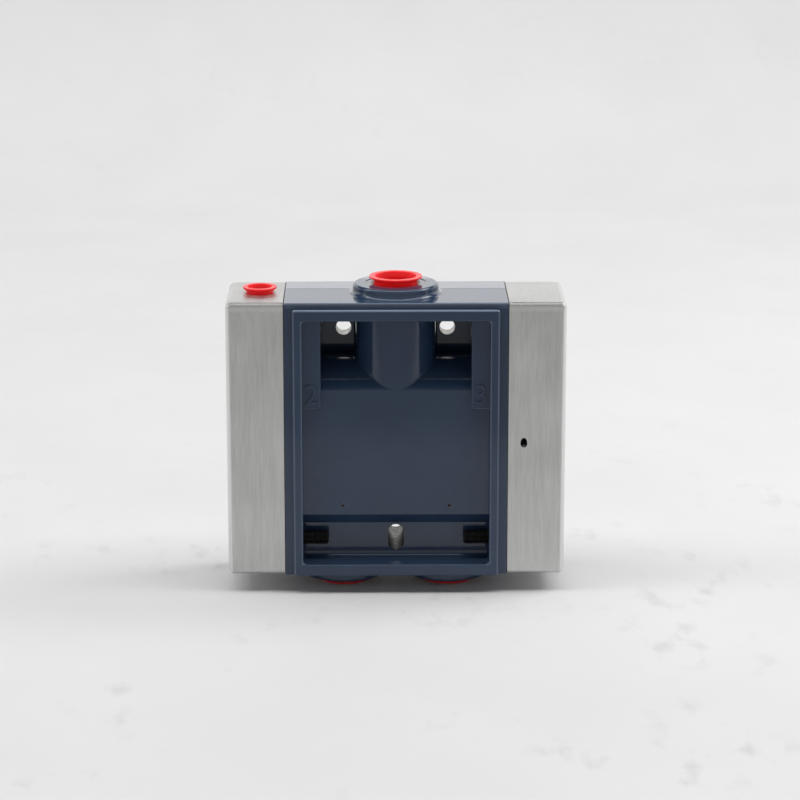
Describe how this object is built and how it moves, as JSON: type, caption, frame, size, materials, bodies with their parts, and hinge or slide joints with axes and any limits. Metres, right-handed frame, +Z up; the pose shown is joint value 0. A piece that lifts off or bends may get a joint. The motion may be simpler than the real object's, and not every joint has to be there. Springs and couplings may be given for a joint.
{
  "type": "pilot-operated spool valve",
  "caption": "Directional spool valve with a painted cast body, two aluminium end covers, a pocketed front, threaded ports sealed by red plugs and a spring-returned spool.",
  "frame": {"origin": "middle of the underside of the whole valve, the plane its two lower port plugs stand on", "axes": "+X along the spool from the pilot cover to the spring cover, the open pocket faces -Y, +Z up"},
  "size_m": [0.1826, 0.0616, 0.1706],
  "materials": {
    "painted_casting": "glossy blue-grey enamel",
    "cover_aluminium": "brushed",
    "machined_aluminium": "machined",
    "ground_steel": "ground",
    "black_steel": "black oxide",
    "zinc_steel": "zinc plated",
    "spring_steel": "drawn wire",
    "nitrile_rubber": "moulded",
    "gasket_fibre": "matte",
    "red_polyethylene": "satin"
  },
  "bodies": {
    "valve": {"valve_body_upper_left": "painted_casting", "valve_body_upper_middle": "painted_casting", "valve_body_upper_right": "painted_casting", "valve_body_barrel": "painted_casting", "valve_body_lower_left": "painted_casting", "valve_body_lower_right": "painted_casting", "pilot_end_cover_front": "cover_aluminium", "pilot_end_cover_back": "cover_aluminium", "spring_end_cover": "cover_aluminium", "pilot_cover_gasket": "gasket_fibre", "spring_cover_gasket": "gasket_fibre", "pilot_cover_screws": "black_steel", "spring_cover_screws": "black_steel", "pilot_cover_washers": "zinc_steel", "spring_cover_washers": "zinc_steel", "spool_sleeve": "ground_steel", "sleeve_seals": "nitrile_rubber", "sleeve_circlip": "spring_steel", "piston_bumper": "nitrile_rubber", "return_spring": "spring_steel", "spring_retainer": "machined_aluminium"},
    "spool_group": {"spool": "ground_steel", "spool_seals": "nitrile_rubber", "pilot_piston": "machined_aluminium", "piston_seal": "nitrile_rubber", "piston_bolt": "zinc_steel", "spring_seat": "ground_steel"},
    "top_plug": {"top_port_plug": "red_polyethylene"},
    "left_plug": {"left_port_plug": "red_polyethylene"},
    "right_plug": {"right_port_plug": "red_polyethylene"},
    "pilot_plug": {"pilot_port_plug": "red_polyethylene"}
  },
  "joints": [
    {"name": "spool_slide", "type": "slide", "parent": "valve", "child": "spool_group", "axis": [1, 0, 0], "range_m": [0, 0.014], "stiffness_N_per_m": 5900, "springref_m": -0.007, "deforming": ["return_spring"]},
    {"name": "top_plug_pull", "type": "slide", "parent": "valve", "child": "top_plug", "axis": [0, 0, 1], "range_m": [0, 0.03]},
    {"name": "left_plug_pull", "type": "slide", "parent": "valve", "child": "left_plug", "axis": [0, 0, -1], "range_m": [0, 0.03]},
    {"name": "right_plug_pull", "type": "slide", "parent": "valve", "child": "right_plug", "axis": [0, 0, -1], "range_m": [0, 0.03]},
    {"name": "pilot_plug_pull", "type": "slide", "parent": "valve", "child": "pilot_plug", "axis": [0, 0, 1], "range_m": [0, 0.03]}
  ]
}
